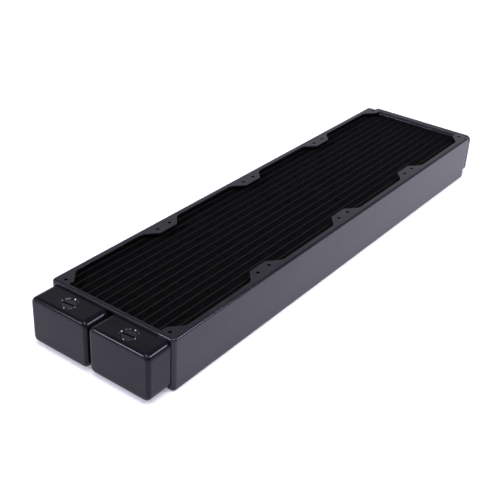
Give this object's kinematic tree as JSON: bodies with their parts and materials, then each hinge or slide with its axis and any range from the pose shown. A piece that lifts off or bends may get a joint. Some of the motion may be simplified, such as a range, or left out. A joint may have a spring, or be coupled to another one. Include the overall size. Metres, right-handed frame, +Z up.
{
  "type": "liquid cooling radiator",
  "caption": "Long slim liquid cooling radiator with a black finned core, folded side rails with fan screw tabs, side-by-side port tanks with plugged ports and a return tank.",
  "frame": {"origin": "centre of the bounding box's bottom face, on the surface that the part lies on", "axes": "+X along the length from the port tanks to the return tank, +Y across towards the inlet tank's side, +Z up out of the core's face"},
  "size_m": [0.515, 0.124, 0.046],
  "materials": {
    "case_paint": "satin black powder coat on steel sheet",
    "tank_paint": "satin black powder coat on brass tanks",
    "core_paint": "thin matt black spray over brass tubes and copper fins",
    "port_metal": "machined brass under the tanks' black paint",
    "plug_finish": "black plated plug with a screwdriver slot",
    "seal_rubber": "matt black"
  },
  "bodies": {
    "root": {"side_rail_left": "case_paint", "side_rail_right": "case_paint", "end_strip_near_top": "case_paint", "end_strip_near_bottom": "case_paint", "end_strip_far_top": "case_paint", "end_strip_far_bottom": "case_paint", "header_plate_near": "case_paint", "header_plate_far": "case_paint", "coolant_tube_01": "core_paint", "coolant_tube_02": "core_paint", "coolant_tube_03": "core_paint", "coolant_tube_04": "core_paint", "coolant_tube_05": "core_paint", "coolant_tube_06": "core_paint", "coolant_tube_07": "core_paint", "coolant_tube_08": "core_paint", "coolant_tube_09": "core_paint", "coolant_tube_10": "core_paint", "coolant_tube_11": "core_paint", "coolant_tube_12": "core_paint", "coolant_tube_13": "core_paint", "coolant_tube_14": "core_paint", "core_centre_bar": "core_paint", "fin_strip_01": "core_paint", "fin_strip_02": "core_paint", "fin_strip_03": "core_paint", "fin_strip_04": "core_paint", "fin_strip_05": "core_paint", "fin_strip_06": "core_paint", "fin_strip_07": "core_paint", "fin_strip_08": "core_paint", "fin_strip_09": "core_paint", "fin_strip_10": "core_paint", "fin_strip_11": "core_paint", "fin_strip_12": "core_paint", "fin_strip_13": "core_paint", "fin_strip_14": "core_paint", "core_side_plate_left": "core_paint", "core_side_plate_right": "core_paint", "inlet_tank": "tank_paint", "outlet_tank": "tank_paint", "return_tank": "tank_paint", "inlet_port_bush_top": "port_metal", "inlet_port_bush_bottom": "port_metal", "outlet_port_bush_top": "port_metal", "outlet_port_bush_bottom": "port_metal"},
    "inlet_seal": {"inlet_plug_seal": "seal_rubber"},
    "inlet_plug": {"inlet_plug_screw": "plug_finish"},
    "outlet_seal": {"outlet_plug_seal": "seal_rubber"},
    "outlet_plug": {"outlet_plug_screw": "plug_finish"}
  },
  "joints": [
    {"name": "inlet_plug_lift", "type": "slide", "parent": "root", "child": "inlet_seal", "axis": [0, 0, 1], "range_m": [0, 0.0066]},
    {"name": "inlet_plug_turn", "type": "hinge", "parent": "inlet_seal", "child": "inlet_plug", "pos_m": [-0.2454, 0.0301, 0], "axis": [0, 0, 1], "range_deg": [0, 1800]},
    {"name": "outlet_plug_lift", "type": "slide", "parent": "root", "child": "outlet_seal", "axis": [0, 0, 1], "range_m": [0, 0.0066]},
    {"name": "outlet_plug_turn", "type": "hinge", "parent": "outlet_seal", "child": "outlet_plug", "pos_m": [-0.2454, -0.0301, 0], "axis": [0, 0, 1], "range_deg": [0, 1800]}
  ],
  "couplings": [
    {"joint": "inlet_plug_turn", "follows": "inlet_plug_lift", "rad_per_m": 4699.5},
    {"joint": "outlet_plug_turn", "follows": "outlet_plug_lift", "rad_per_m": 4699.5}
  ]
}
